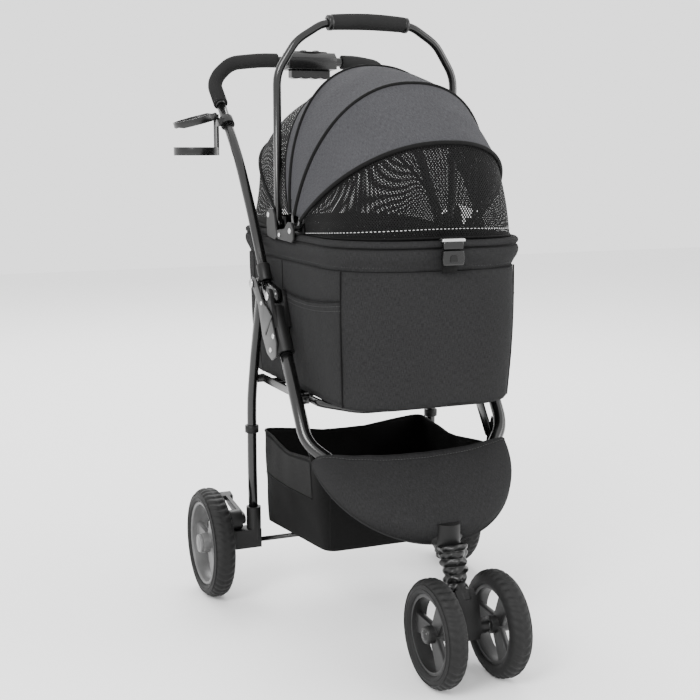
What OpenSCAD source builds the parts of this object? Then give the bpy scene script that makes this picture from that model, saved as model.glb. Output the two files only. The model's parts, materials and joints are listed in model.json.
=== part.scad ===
// Three-wheel folding pet stroller with a lift-off carrier.
// X runs across, the front faces -Y, Z is up, and the wheels stand on Z = 0.

/* [Wheels] */
// Radius of the rear wheels
rear_wheel_r = 94; // [90:1:98]
// Width of the rear tyres
rear_tyre_w = 37; // [32:1:38]
// Distance from the middle to each rear wheel
rear_wheel_x = 234; // [232:1:236]
// Rear axle, along the length
rear_axle_y = 203; // [200:1:206]
// Radius of the front wheels
front_wheel_r = 80; // [76:1:82]
// Width of the front tyres
front_tyre_w = 33; // [30:1:34]
// Distance from the middle to each front wheel
front_wheel_x = 51; // [50:1:54]
// Front axle, along the length
front_axle_y = -293; // [-296:1:-290]
// Radius of the steel axles
axle_r = 5; // [4:0.5:6]

/* [Frame] */
// Distance from the middle to the side tubes
tube_x = 170; // [169:0.5:172]
// Radius of the push tubes, handlebar and rear legs
tube_r = 8; // [7:0.5:8]
// Radius of the front legs
leg_r = 10; // [9:0.5:10]
// Swivel head, along the length
head_y = -229; // [-232:1:-226]
// Radius of the swivel stem
stem_r = 8; // [7:0.5:9]

/* [Folding joints] */
// Handle hinge, along the length
hinge_y = 40; // [38:1:42]
// Handle hinge height
hinge_z = 538; // [536:1:540]
// Rear leg pivot, along the length
pivot_y = 105; // [104:1:106]
// Rear leg pivot height
pivot_z = 552; // [551:1:553]
// Radius of the hinge pins
pin_r = 4; // [3:0.5:4.5]

/* [Carrier] */
// Half width of the carrier's floor
tub_floor_x = 140; // [136:1:142]
// Half width of the carrier under its collar
tub_top_x = 151; // [148:1:152]
// Height of the carrier's underside
tub_z = 392; // [391.6:0.2:394]
// Height where the collar starts
collar_z = 594; // [590:1:600]
// Half width of the collar
collar_x = 159; // [156:1:160]
// Top of the collar
rim_z = 638; // [636:1:638]
// Thickness of the carrier's walls
wall = 4; // [3:0.5:5]

/* [Canopy] */
// Canopy pivot, along the length
canopy_y = -13; // [-15:1:-11]
// Canopy pivot height
canopy_z = 648; // [647:0.5:649]
// Height of the hoops above their pivot
hoop_h = 257; // [250:1:260]
// Height of the middle canopy bow over the pivot
middle_hoop_h = 235; // [230:1:238]
// Height of the front canopy bow over the pivot
front_hoop_h = 242; // [240:1:248]
// Thickness of the canopy shells
cloth_t = 1.6; // [1.2:0.1:2]

/* [Carry handle] */
// Half width of the carry handle
bail_x = 155; // [154:0.5:155]
// Carry handle pivot, along the length
bail_y = 66; // [64:1:68]
// Carry handle pivot height
bail_z = 650; // [650:0.5:652]
// Radius of the carry handle tube
bail_r = 6.5; // [6:0.5:6.5]

/* [Fits] */
// Radial gap between a pin and its bore
run_gap = 0.05; // [0.02:0.01:0.09]
// Gap between bodies that pass each other
side_gap = 0.5; // [0.4:0.1:0.8]

/* [Hidden] */
$fn = 48;

// Colours
black = [0.07, 0.07, 0.08];
dark_plastic = [0.12, 0.12, 0.13];
foam = [0.22, 0.22, 0.23];
linen = [0.26, 0.26, 0.27];
canopy_grey = [0.36, 0.36, 0.38];
mesh_black = [0.09, 0.09, 0.1];
steel = [0.75, 0.75, 0.76];
rim_grey = [0.5, 0.5, 0.52];

// Side profile of the frame, as [y, z] in the plane of each side tube
push_profile = [[76, 545], [152, 664], [217, 754], [308, 842]];
leg_top = [38, 517];
leg_bend = [-89, 327];
leg_end = [26, -214, 205];
rear_leg_profile = [[pivot_y, pivot_z], [143, 430], [164, 350], [165, 230], [161, 124]];

brake_p = [168, 140];

// Radius of the lugs that join the front legs to the swivel head
lug_r = 12.5;

// Handlebar, from one end of the grips to the other
bar_half = [[170, 308, 842], [170, 356, 886], [140, 344, 916], [90, 322, 921]];
bar_ref = [0, -1, 1];
module_half_w = 46;
grip_end_x = 62;

// Carry handle, right half, as [x, z]
bail_half = [[bail_x, bail_z], [bail_x, 885], [122, 936], [80, 962]];
bail_top_z = 973;

// Hoop angles about the canopy pivot, measured forwards from straight up
back_angle = -12;
middle_angle = 23;
front_angle = 58;
rear_hoop_angle = -60;
rear_hem_angle = -29.5;
hoop_power = 2.25;

// ---- vectors -------------------------------------------------------------

function unit(v) = v / norm(v);
function angle_between(a, b) = acos(max(-1, min(1, unit(a) * unit(b))));
function flip(p, s) = [s * p[0], p[1], p[2]];
function on_side(profile, x) = [for (p = profile) [x, p[0], p[1]]];
function mirror_path(half) = concat(
    [for (p = half) flip(p, -1)],
    [for (i = [len(half) - 1 : -1 : 0]) half[i]]
);

// Places children with their Z axis along d and their X axis towards s
module aim(p, d, s) {
    z = unit(d);
    y = unit(cross(z, s));
    x = cross(y, z);
    multmatrix([
        [x[0], y[0], z[0], p[0]],
        [x[1], y[1], z[1], p[1]],
        [x[2], y[2], z[2], p[2]],
        [0, 0, 0, 1]
    ]) children();
}

// Round bar from a to b
module bar(a, b, r) {
    d = b - a;
    side = abs(unit(d)[0]) > 0.9 ? [0, 1, 0] : [1, 0, 0];
    aim(a, d, side) cylinder(r = r, h = norm(d));
}

// Cylinder along X, from x0 to x1
module x_cyl(x0, x1, p, r) {
    translate([min(x0, x1), p[0], p[1]]) rotate([0, 90, 0]) cylinder(r = r, h = abs(x1 - x0));
}

// Plate in the YZ plane, from x0 to x1
module x_plate(x0, x1, outline) {
    translate([min(x0, x1), 0, 0]) rotate([90, 0, 90])
        linear_extrude(abs(x1 - x0)) polygon(outline);
}

// Points of one bend: the corner at p between prev and next, rounded to radius r
function bend_points(prev, p, next, r) =
    let (
        d1 = unit(p - prev),
        d2 = unit(next - p),
        turn = angle_between(d1, d2),
        inward = unit(d2 - (d2 * d1) * d1),
        centre = p - d1 * r * tan(turn / 2) + inward * r,
        steps = max(1, ceil(turn / 9))
    )
    [for (i = [0 : steps]) centre + r * (sin(turn * i / steps) * d1 - cos(turn * i / steps) * inward)];

// Centre line through the points, with each corner rounded to its own radius
function bent_path(pts, bends) = concat(
    [pts[0]],
    [for (i = [1 : len(pts) - 2]) each bend_points(pts[i - 1], pts[i], pts[i + 1], bends[i - 1])],
    [pts[len(pts) - 1]]
);

// One ring of a tube, square to direction d, with ref setting where its corners lie
function ring(p, d, ref, r, sides) =
    let (u = unit(cross(d, ref)), v = unit(cross(d, u)))
    [for (k = [0 : sides - 1]) p + r * (cos(360 * k / sides) * u + sin(360 * k / sides) * v)];

// Round tube along a centre line
module sweep(path, r, ref, sides = 16) {
    last = len(path) - 1;
    rings = [for (i = [0 : last]) ring(
        path[i], unit(path[min(i + 1, last)] - path[max(i - 1, 0)]), ref, r, sides
    )];
    polyhedron(
        points = [for (one = rings) each one],
        faces = concat(
            [[for (k = [0 : sides - 1]) k]],
            [for (i = [0 : last - 1]) for (k = [0 : sides - 1]) let (m = (k + 1) % sides) each [
                [i * sides + k, (i + 1) * sides + k, (i + 1) * sides + m],
                [i * sides + k, (i + 1) * sides + m, i * sides + m]
            ]],
            [[for (k = [sides - 1 : -1 : 0]) last * sides + k]]
        )
    );
}

// Rounded rectangle seen from above, front corners wider than the rear ones
module plan(half_w, front_y, rear_y, front_r, rear_r, z, h) {
    translate([0, 0, z]) hull() {
        for (s = [-1, 1]) {
            translate([s * (half_w - front_r), front_y + front_r, 0]) cylinder(r = front_r, h = h, $fn = 32);
            translate([s * (half_w - rear_r), rear_y - rear_r, 0]) cylinder(r = rear_r, h = h, $fn = 32);
        }
    }
}

// ---- wheels --------------------------------------------------------------

module wheel_turn(x, y, z) translate([x, y, z]) rotate([0, 90, 0]) children();

module tyre(r, w, rim_r) {
    crown = w * 0.62;
    rotate_extrude($fn = 96) intersection() {
        translate([rim_r, -w / 2]) square([r - rim_r, w]);
        translate([r - crown, 0]) circle(r = crown);
    }
}

module rim(rim_r, w, hub_r, hub_half, spokes, blade_w) {
    ring = 6;
    difference() {
        union() {
            rotate_extrude($fn = 96) translate([rim_r - ring, -w / 2]) square([ring, w]);
            translate([0, 0, -hub_half]) cylinder(r = hub_r, h = 2 * hub_half);
            for (i = [0 : spokes - 1]) rotate(i * 360 / spokes + 90)
                translate([0, 0, -5]) linear_extrude(10) polygon([
                    [hub_r * 0.6, -blade_w * 0.35],
                    [rim_r - ring / 2, -blade_w * 0.6],
                    [rim_r - ring / 2, blade_w * 0.55],
                    [hub_r * 0.6, blade_w * 0.45]
                ]);
        }
        translate([0, 0, -hub_half - 1]) cylinder(r = axle_r + run_gap, h = 2 * hub_half + 2);
    }
}

rear_rim_r = rear_wheel_r * 0.77;
front_rim_r = front_wheel_r * 0.74;

module rear_tyre(s) color(black)
    wheel_turn(s * rear_wheel_x, rear_axle_y, rear_wheel_r) tyre(rear_wheel_r, rear_tyre_w, rear_rim_r);
module rear_rim(s) color(rim_grey)
    wheel_turn(s * rear_wheel_x, rear_axle_y, rear_wheel_r) rim(rear_rim_r, 27, 17, 17, 3, 30);
module rear_hub_cap(s) color(steel) difference() {
    x_cyl(s * 251, s * 258, [rear_axle_y, rear_wheel_r], 15);
    x_cyl(s * 250, s * 255.2, [rear_axle_y, rear_wheel_r], 7);
}
module front_tyre(s) color(black)
    wheel_turn(s * front_wheel_x, front_axle_y, front_wheel_r) tyre(front_wheel_r, front_tyre_w, front_rim_r);
module front_rim(s) color(dark_plastic)
    wheel_turn(s * front_wheel_x, front_axle_y, front_wheel_r) rim(front_rim_r, 24, 13, 15, 3, 26);

// ---- chassis -------------------------------------------------------------

module front_leg(s) {
    top = [s * tube_x, leg_top[0], leg_top[1]];
    bend = [s * tube_x, leg_bend[0], leg_bend[1]];
    color(black) sweep(bent_path([top, bend, flip(leg_end, s)], [60]), leg_r, [1, 0, 0], 20);
}

// Straight upper part of a front leg, to fit other parts against
module leg_line(s) {
    bar([s * tube_x, leg_top[0], leg_top[1]], [s * tube_x, leg_bend[0], leg_bend[1]], leg_r);
    bar([s * tube_x, leg_bend[0], leg_bend[1]], flip(leg_end, s), leg_r);
}

module fork_head() {
    color(black) difference() {
        union() {
            translate([0, head_y, 178]) cylinder(r = 19, h = 44);
            for (s = [-1, 1]) bar(flip(leg_end, s), [0, head_y, 190], lug_r);
        }
        for (s = [-1, 1]) bar(flip(leg_end, s), [s * tube_x, leg_bend[0], leg_bend[1]], leg_r);
        translate([0, head_y, 150]) cylinder(r = stem_r + run_gap, h = 66);
    }
}

// Lower half of the folding joint: a socket on the leg and two ears around the hinge
module knuckle(s) {
    leg_dir = unit([0, leg_bend[0] - leg_top[0], leg_bend[1] - leg_top[1]]);
    top = [s * tube_x, leg_top[0], leg_top[1]];
    ear_x = 7 + side_gap;
    color(dark_plastic) difference() {
        union() {
            bar(top, top + leg_dir * 78, 14);
            for (e = [-1, 1]) {
                x0 = s * tube_x + e * ear_x;
                x_cyl(x0, x0 + e * 6, [hinge_y, hinge_z], 12);
                x_plate(x0, x0 + e * 6, [
                    [hinge_y - 12, hinge_z], [hinge_y + 12, hinge_z],
                    [52, 508], [26, 478], [8, 492]
                ]);
            }
        }
        bar(top - leg_dir, top + leg_dir * 79, leg_r);
        x_cyl(s * tube_x - 20, s * tube_x + 20, [hinge_y, hinge_z], pin_r);
        bar(top - leg_dir * 40, top, 13.9);
    }
}

// Steel plates outside the frame, from the front leg back to the rear leg's pivot
module gusset_plates() {
    color(steel) for (s = [-1, 1]) difference() {
        x_plate(s * 184.2, s * 187, [
            [pivot_y + 9, pivot_z + 3], [pivot_y, pivot_z + 12], [pivot_y - 18, pivot_z + 8],
            [60, 532], [20, 512], [-6, 470], [-4, 448], [14, 440], [36, 448], [58, 474], [76, 520]
        ]);
        x_cyl(s * 180, s * 190, [pivot_y, pivot_z], pin_r);
        x_cyl(s * 180, s * 190, [hinge_y, hinge_z], pin_r + 12);
    }
}

// Rails and cross tubes that hold the carrier up
module cradle_frame() {
    rail_x = 148;
    tube_z = 385;
    color(black) {
        for (s = [-1, 1]) {
            x_plate(s * rail_x, s * (rail_x + 5), [[-48, 379], [166, 379], [166, 391], [-48, 391]]);
            x_cyl(s * (rail_x + 5), s * (tube_x - tube_r - side_gap), [157, 385], 7);
            difference() {
                x_cyl(s * (rail_x + 5), s * tube_x, [-41, 385], 8);
                leg_line(s);
            }
        }
        x_cyl(-rail_x, rail_x, [120, tube_z], 6);
        x_cyl(-rail_x, rail_x, [10, tube_z], 6);
        sweep(bent_path([
            [-rail_x + 5, -38, tube_z], [-rail_x + 5, -80, tube_z], [-96, -128, 380],
            [96, -128, 380], [rail_x - 5, -80, tube_z], [rail_x - 5, -38, tube_z]
        ], [30, 40, 40, 30]), 6, [0, 0, 1]);
    }
}

// Flat links from the cradle down to the front legs
module fold_links() {
    color(black) for (s = [-1, 1]) difference() {
        union() {
            x_plate(s * 153.2, s * 157, [[-20, 390], [-34, 384], [-84, 314], [-78, 304], [-66, 306], [-14, 378]]);
            x_cyl(s * 153.2, s * 159, [-76, 312], 7);
        }
        x_cyl(s * 150, s * tube_x, [-41, 385], 8);
    }
}

// Curved cloth panel wrapped over the front legs, with its straight edge to the rear
module foot_cover() {
    cover_w = 165;
    cover_l = 160;
    depth = 34;
    skin = 3;
    slope = atan2(leg_bend[1] - leg_end[2], leg_bend[0] - leg_end[1]);
    color(linen) difference() {
        translate([0, -90, 298]) rotate([slope, 0, 0]) difference() {
            foot_shape(cover_w, cover_l, 0, depth);
            translate([0, 1, 0]) foot_shape(cover_w - skin, cover_l - skin, -1, depth - skin);
        }
        for (s = [-1, 1]) bar(flip(leg_end, s), [s * tube_x, leg_bend[0], leg_bend[1]], leg_r + 1);
        for (s = [-1, 1]) bar(flip(leg_end, s), [0, head_y, 190], lug_r + 1);
        translate([0, head_y, 150]) cylinder(r = 21, h = 120);
    }
}

// Half ellipse from its straight edge along X, narrowing towards its top
module foot_shape(w, l, low, high) {
    steps = 24;
    hull() {
        translate([0, 0, low]) linear_extrude(1) polygon([
            for (i = [0 : steps]) [w * cos(180 + i * 180 / steps), l * sin(180 + i * 180 / steps)]
        ]);
        translate([0, 0, high - 1]) linear_extrude(1) polygon([
            for (i = [0 : steps]) [w * 0.84 * cos(180 + i * 180 / steps), l * 0.93 * sin(180 + i * 180 / steps)]
        ]);
    }
}

// Cloth basket, open at the top
module basket_shape(inset, low, high) {
    r = 14;
    hull() {
        for (s = [-1, 1]) {
            translate([s * (141 - r - inset), 176 - r - inset, low]) cylinder(r = r, h = 2, $fn = 24);
            translate([s * (114 - r - inset), -38 + r + inset, low]) cylinder(r = r, h = 2, $fn = 24);
            translate([s * (144 - r - inset), 166 - r - inset, high]) cylinder(r = r, h = 2, $fn = 24);
            translate([s * (146 - r - inset), -66 + r + inset, high]) cylinder(r = r, h = 2, $fn = 24);
        }
    }
}
module basket() {
    color(mesh_black) difference() {
        basket_shape(0, 133, 292);
        basket_shape(3, 136, 296);
    }
}

// ---- rear legs -----------------------------------------------------------

module rear_leg(s) {
    x = s * tube_x;
    color(black) difference() {
        union() {
            sweep(bent_path(on_side(rear_leg_profile, x), [200, 200, 400]), tube_r, [1, 0, 0]);
            x_cyl(x - tube_r, x + tube_r, [pivot_y, pivot_z], 9);
        }
        x_cyl(x - 20, x + 20, [pivot_y, pivot_z], pin_r + run_gap);
    }
}

module rear_axle_rod() color(black) x_cyl(-160, 160, [168, 99.5], 4);

module rear_bracket(s) {
    foot = rear_leg_profile[4];
    color(dark_plastic) difference() {
        union() {
            translate([s * tube_x, foot[0], 104]) cylinder(r = 12.5, h = 58);
            x_plate(s * 160, s * 206, [
                [149, 92], [176, 92], [196, 80], [214, 82], [217, 98], [204, 110], [180, 124], [149, 124]
            ]);
            x_cyl(s * 192, s * 212, brake_p, 17);
            x_cyl(s * 206, s * 214, [rear_axle_y, rear_wheel_r], 15);
            x_cyl(s * 212, s * 254, [rear_axle_y, rear_wheel_r], axle_r);
        }
        bar([s * tube_x, 161, 124], [s * tube_x, 163.7, 195.6], tube_r);
        x_cyl(s * 190, s * 205, brake_p, pin_r);
    }
}

// Bolts that the rear legs swing on, held by the outer plates
module leg_pivot_bolts() {
    color(steel) for (s = [-1, 1]) {
        x_cyl(s * (tube_x - 10), s * 187, [pivot_y, pivot_z], pin_r);
        x_cyl(s * 187, s * 190, [pivot_y, pivot_z], 7);
        x_cyl(s * (tube_x - 10), s * (tube_x - 8 - side_gap), [pivot_y, pivot_z], 5.5);
    }
}

module brake_pedal(s) {
    color(dark_plastic) {
        x_cyl(s * 191.3, s * 204, brake_p, pin_r - run_gap);
        x_cyl(s * 184.5, s * 191.3, brake_p, 9);
        x_plate(s * 184.5, s * 191.3, [[168, 132], [176, 134], [238, 146], [254, 151], [254, 160], [168, 149]]);
        x_plate(s * 178, s * 208, [[250, 151], [268, 155], [266, 163], [250, 159]]);
    }
}

// ---- caster --------------------------------------------------------------

strut_top = [0, -236, 170];
strut_dir = unit([0, -47, -53]);

module caster_stem() {
    color(dark_plastic) {
        translate([0, head_y, 172]) cylinder(r = stem_r, h = 41);
        translate([0, head_y, 170]) cylinder(r = 17, h = 7.5);
        bar(strut_top + strut_dir * 4, strut_top + strut_dir * 6, 15);
        bar(strut_top, strut_top + strut_dir * 54, 5.5);
    }
}

module suspension_boot() {
    ribs = 5;
    pitch = 8.4;
    color(black) aim(strut_top + strut_dir * 6, strut_dir, [1, 0, 0])
        rotate_extrude() polygon(concat(
            [[9.4, 0]],
            [for (i = [0 : ribs - 1]) each [[13, i * pitch], [17, (i + 0.5) * pitch]]],
            [[13, ribs * pitch], [9.4, ribs * pitch]]
        ));
}

module caster_block() {
    shoulder = 57;
    axle_p = [front_axle_y, front_wheel_r];
    color(dark_plastic) difference() {
        union() {
            bar(strut_top + strut_dir * 30, strut_top + strut_dir * 70, 8.8);
            bar(strut_top + strut_dir * shoulder, strut_top + strut_dir * (shoulder + 16), 15);
            x_plate(-15, 15, [
                [-266, 116], [-284, 136], [-302, 116], [-310, 84], [-306, 66], [-292, 60], [-278, 66], [-268, 92]
            ]);
            x_cyl(-32, 32, axle_p, 11);
        }
        bar(strut_top, strut_top + strut_dir * 64, 5.5 + run_gap);
        x_cyl(-40, 40, axle_p, axle_r);
    }
}

module front_axle() color(steel) {
    x_cyl(-68, 68, [front_axle_y, front_wheel_r], axle_r);
    for (s = [-1, 1]) x_cyl(s * 67, s * 70, [front_axle_y, front_wheel_r], 8);
}

// ---- push handle ---------------------------------------------------------

// Push tube with the upper half of the folding joint at its foot
module push_tube(s) {
    x = s * tube_x;
    color(black) difference() {
        union() {
            sweep(bent_path(on_side(push_profile, x), [400, 400]), tube_r, [1, 0, 0]);
            x_cyl(x - 7, x + 7, [hinge_y, hinge_z], 12);
            x_plate(x - 7, x + 7, [[hinge_y, hinge_z - 10], [76, 536], [84, 546], [74, 556], [hinge_y, hinge_z + 12]]);
        }
        x_cyl(x - 20, x + 20, [hinge_y, hinge_z], pin_r + run_gap);
    }
}

module handlebar()
    color(black) sweep(bent_path(mirror_path(bar_half), [30, 40, 90, 90, 40, 30]), tube_r, bar_ref);

// Foam sleeve over the bar, from the bar's end to beside the module
module grip(s) {
    start = flip(bar_half[0], s);
    first = unit(flip(bar_half[1], s) - start);
    inner_end = [s * grip_end_x, bar_half[3][1], bar_half[3][2]];
    past_end = [s * (grip_end_x - 5), bar_half[3][1], bar_half[3][2]];
    bends = [flip(bar_half[1], s), flip(bar_half[2], s), flip(bar_half[3], s)];
    color(foam) difference() {
        sweep(bent_path(concat([start + first * 3], bends, [inner_end]), [30, 40, 90]), 12.5, bar_ref);
        sweep(bent_path(concat([start - first * 3], bends, [past_end]), [30, 40, 90]), tube_r, bar_ref);
    }
}

module handle_module() {
    y = bar_half[3][1];
    z = bar_half[3][2];
    color(dark_plastic) difference() {
        x_plate(-module_half_w, module_half_w, [
            [y - 20, z - 14], [y + 14, z - 16], [y + 20, z - 8], [y + 18, z + 8],
            [y + 10, z + 15], [y - 10, z + 15], [y - 20, z + 6]
        ]);
        x_cyl(-60, 60, [y, z], tube_r);
        translate([-41, y - 10.5, z - 24]) cube([82, 21, 15.2]);
    }
}

// Two-finger lever that pulls the latch cables
module squeeze_lever() {
    y = bar_half[3][1];
    z = bar_half[3][2];
    color(dark_plastic) translate([-40, y - 9.5, z - 24.5]) cube([80, 19, 9]);
}

// Black sleeves that lock the folding joints
module latch_sleeves() {
    low = push_profile[0];
    high = push_profile[1];
    color(black) for (s = [-1, 1]) {
        foot = [s * tube_x, low[0], low[1]];
        dir = unit([0, high[0] - low[0], high[1] - low[1]]);
        difference() {
            bar(foot + dir * 14, foot + dir * 44, 11);
            bar(foot + dir * 10, foot + dir * 50, tube_r + run_gap);
        }
    }
}

module hinge_pins() {
    color(steel) for (s = [-1, 1]) {
        x_cyl(s * tube_x - 13.5, s * tube_x + 13.5, [hinge_y, hinge_z], pin_r);
        x_cyl(s * (tube_x + 13.5), s * (tube_x + 16), [hinge_y, hinge_z], 6.5);
    }
}

// Ring and lower band on a back plate, clamped to the right push tube
module cup_holder() {
    ring_p = [-219, 300];
    ring_r = 38.5;
    inner_r = 35;
    clamp_dir = unit([0, push_profile[3][0] - push_profile[2][0], push_profile[3][1] - push_profile[2][1]]);
    clamp_p = [-tube_x, push_profile[2][0], push_profile[2][1]] + clamp_dir * 84;
    color(black) {
        difference() {
            union() {
                translate([ring_p[0], ring_p[1], 756]) cylinder(r = ring_r, h = 14);
                translate([ring_p[0], ring_p[1], 815]) rotate([0, -15, 0])
                    translate([0, 0, -6]) cylinder(r = ring_r, h = 12);
                translate([ring_p[0] + 30, ring_p[1] - 10, 756]) cube([8.6, 20, 70]);
            }
            translate([ring_p[0], ring_p[1], 750]) cylinder(r = inner_r, h = 100);
            translate([ring_p[0], ring_p[1], 770]) cylinder(r = inner_r + 1.5, h = 80);
        }
        difference() {
            union() {
                bar(clamp_p - clamp_dir * 8, clamp_p + clamp_dir * 8, 12);
                translate([-186, clamp_p[1] - 8, clamp_p[2] - 7]) cube([14, 22, 14]);
            }
            bar(clamp_p - clamp_dir * 20, clamp_p + clamp_dir * 20, tube_r);
            translate([ring_p[0], ring_p[1], 750]) cylinder(r = inner_r, h = 100);
        }
    }
}

// ---- carrier -------------------------------------------------------------

module tub_shape(inset, low, high) {
    hull() {
        plan(tub_floor_x - inset, -201 + inset, 247 - inset, 72, 45, low, 1);
        plan(tub_top_x - inset, -214 + inset, 256 - inset, 100, 52, high, 1);
    }
}

module tub() {
    color(linen) difference() {
        tub_shape(0, tub_z, collar_z - 1);
        tub_shape(wall, tub_z + wall, collar_z + 1);
    }
}

module base_board() color(dark_plastic) plan(tub_floor_x - 9, -192, 238, 64, 38, tub_z + wall + 0.3, 4);

module cushion() color(linen) plan(tub_floor_x - 10, -190, 236, 62, 36, tub_z + wall + 4.8, 22);

// Flared collar and zipped rim on top of the tub
module rim_frame() {
    color(linen) difference() {
        hull() {
            plan(tub_top_x, -214, 256, 100, 52, collar_z + 0.2, 1);
            plan(collar_x, -226, 268, 108, 58, 610, 22);
            plan(collar_x - 5, -221, 262, 104, 54, rim_z - 1, 1);
        }
        plan(tub_top_x - wall, -210, 252, 96, 48, collar_z - 1, 60);
    }
}

// Section points from the base on one side to the base on the other
function hoop_points(a, b) = let (steps = 28) [
    for (i = [0 : steps]) let (t = 180 * i / steps)
        [a * (cos(t) < 0 ? -1 : 1) * pow(abs(cos(t)), 2 / hoop_power), b * pow(sin(t), 2 / hoop_power)]
];

// Band between two hoop sections, above base_h
module hoop_band(a, b, t, base_h) {
    outer = hoop_points(a, b);
    inner = hoop_points(a - t, b - t);
    intersection() {
        polygon(concat(outer, [for (i = [len(inner) - 1 : -1 : 0]) inner[i]]));
        translate([-a - 5, base_h]) square([2 * a + 10, b + 10]);
    }
}

// Shell swept about the pivot from angle a0 to a1, both measured forwards from straight up
module canopy_shell(a, b, a0, a1, base_h) {
    translate([0, canopy_y, canopy_z]) rotate([a0, 0, 0]) rotate([0, 90, 0])
        rotate_extrude(angle = a1 - a0, $fn = 180) rotate(-90) mirror([0, 1]) mirror([1, 0])
            hoop_band(a, b, cloth_t, base_h);
}

// Flat-bar hoop at an angle, standing on the pivot
module hoop(angle, a, b, t) {
    translate([0, canopy_y, canopy_z]) rotate([90 + angle, 0, 0])
        translate([0, 0, -3]) linear_extrude(6) hoop_band(a, b, t, 40);
}

// Flat blades that carry a hoop on the pivot pins, x0 from the middle
module hoop_blades(angle, x0) {
    for (s = [-1, 1]) translate([0, canopy_y, canopy_z]) rotate([angle, 0, 0]) difference() {
        union() {
            x_cyl(s * x0, s * (x0 + blade_t), [0, 0], 6);
            translate([s > 0 ? x0 : -x0 - blade_t, -4, 0]) cube([blade_t, 8, 44]);
        }
        x_cyl(s * (x0 - 5), s * (x0 + 5), [0, 0], 3.5 + run_gap);
    }
}

hoop_outer_a = 153.4;
back_hoop_a = 161;
blade_t = 1.8;
hoop_gap = 4.2;
hoop_outer_b = hoop_h - hoop_gap;

module rear_mesh() {
    a = 145;
    inset = 1.6;
    color(mesh_black) {
        canopy_shell(a, hoop_h + 4, rear_hoop_angle, rear_hem_angle, 24);
        difference() {
            skirt_hull(a, 0);
            skirt_hull(a - inset, inset);
            translate([-200, -300, rim_z - 5]) cube([400, 300 + 82, 300]);
        }
    }
}

// Space between the rear hoop and the rear of the rim
module skirt_hull(a, inset) {
    hull() {
        translate([0, canopy_y, canopy_z]) rotate([90 + rear_hoop_angle, 0, 0])
            linear_extrude(0.5 + inset) polygon(hoop_points(a, hoop_h + 4 - inset));
        intersection() {
            plan(a, -100, 258 - inset, 60, 50, rim_z + 0.4 - inset, 0.6 + inset);
            translate([-300, 60, 0]) cube([600, 400, 900]);
        }
    }
}

module rear_hoop() color(black) hoop(rear_hoop_angle, 143, hoop_outer_b + 6, 4);

module canopy_rear() color(canopy_grey) canopy_shell(back_hoop_a + 2.3, hoop_h - 1, rear_hem_angle + 0.2, -2, 24);
module canopy_middle() color(canopy_grey) canopy_shell(157.8, front_hoop_h + 1.6, -2, middle_angle, 24);
module canopy_front() color(canopy_grey) canopy_shell(155.6, front_hoop_h - 0.8, middle_angle, front_angle, 46);

// Front mesh between the front hoop and the front of the rim
module mesh_hull(inset) {
    hull() {
        translate([0, canopy_y, canopy_z]) rotate([90 + front_angle, 0, 0])
            translate([0, 0, 4 - inset]) linear_extrude(0.5) intersection() {
                polygon(hoop_points(154 - inset, front_hoop_h - 3 - inset));
                translate([-200, 30]) square([400, 300]);
            }
        intersection() {
            plan(154 - inset, -219 + inset, 250, 104, 52, rim_z + 0.5 - 2 * inset, 0.6);
            translate([-300, -400, 0]) cube([600, 340, 900]);
        }
    }
}
module mesh_front() color(mesh_black) difference() {
    mesh_hull(0);
    mesh_hull(1.6);
    translate([-151.6, -64, 637]) cube([303.2, 28, 28]);
}

module back_hoop() color(black) {
    hoop(back_angle, back_hoop_a, hoop_outer_b, 2.8);
    hoop_blades(back_angle, back_hoop_a - 2.8);
}
module middle_hoop() color(black) {
    hoop(middle_angle, hoop_outer_a, middle_hoop_h - hoop_gap, 5);
    hoop_blades(middle_angle, 149.8);
}
module front_hoop() color(black) {
    hoop(front_angle, hoop_outer_a, front_hoop_h - hoop_gap, 5);
    hoop_blades(front_angle, 147.6);
}

// Brackets on the rim that carry the canopy pins and the carry handle pins
module side_brackets() {
    color(black) for (s = [-1, 1]) {
        translate([s > 0 ? 144 : -160, -30, rim_z]) cube([16, 111, 3]);
        x_plate(s * 144, s * 147.2, [[-24, 641], [-2, 641], [-6, 656], [-20, 656]]);
        x_cyl(s * 144, s * 160.6, [canopy_y, canopy_z], 3.5);
        x_plate(s * 144, s * 147.2, [[54, 641], [78, 641], [74, 661], [58, 661]]);
        x_cyl(s * 144, s * 162, [bail_y, bail_z], pin_r);
    }
}

module buckle_base() {
    color(dark_plastic) difference() {
        translate([-20, -239, 606]) cube([40, 12.7, 20]);
        translate([-13, -236.5, 611]) cube([26, 7, 20]);
    }
}

module buckle_clip() {
    color(dark_plastic) {
        translate([-18, -238, 627]) cube([36, 9, 12]);
        translate([-11, -235, 614]) cube([22, 4, 14]);
    }
}

// ---- carry handle --------------------------------------------------------

function bail_path() = concat(
    [for (p = bail_half) [-p[0], bail_y, p[1]]],
    [[0, bail_y, bail_top_z]],
    [for (i = [len(bail_half) - 1 : -1 : 0]) [bail_half[i][0], bail_y, bail_half[i][1]]]
);
bail_bends = [60, 60, 50, 450, 50, 60, 60];

module bail_tube() {
    color(black) difference() {
        union() {
            sweep(bent_path(bail_path(), bail_bends), bail_r, [0, 1, 0]);
            for (s = [-1, 1]) x_cyl(s * (bail_x - 6.5), s * (bail_x + 5), [bail_y, bail_z], 8.4);
        }
        for (s = [-1, 1]) x_cyl(s * (bail_x - 12), s * (bail_x + 12), [bail_y, bail_z], pin_r + run_gap);
    }
}

// Centre line of the handle's top, out to x on each side
function bail_arch(x) =
    let (z = bail_top_z - (bail_top_z - bail_half[3][1]) / bail_half[3][0] * x)
    bent_path([[-x, bail_y, z], [0, bail_y, bail_top_z], [x, bail_y, z]], [450]);

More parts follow.
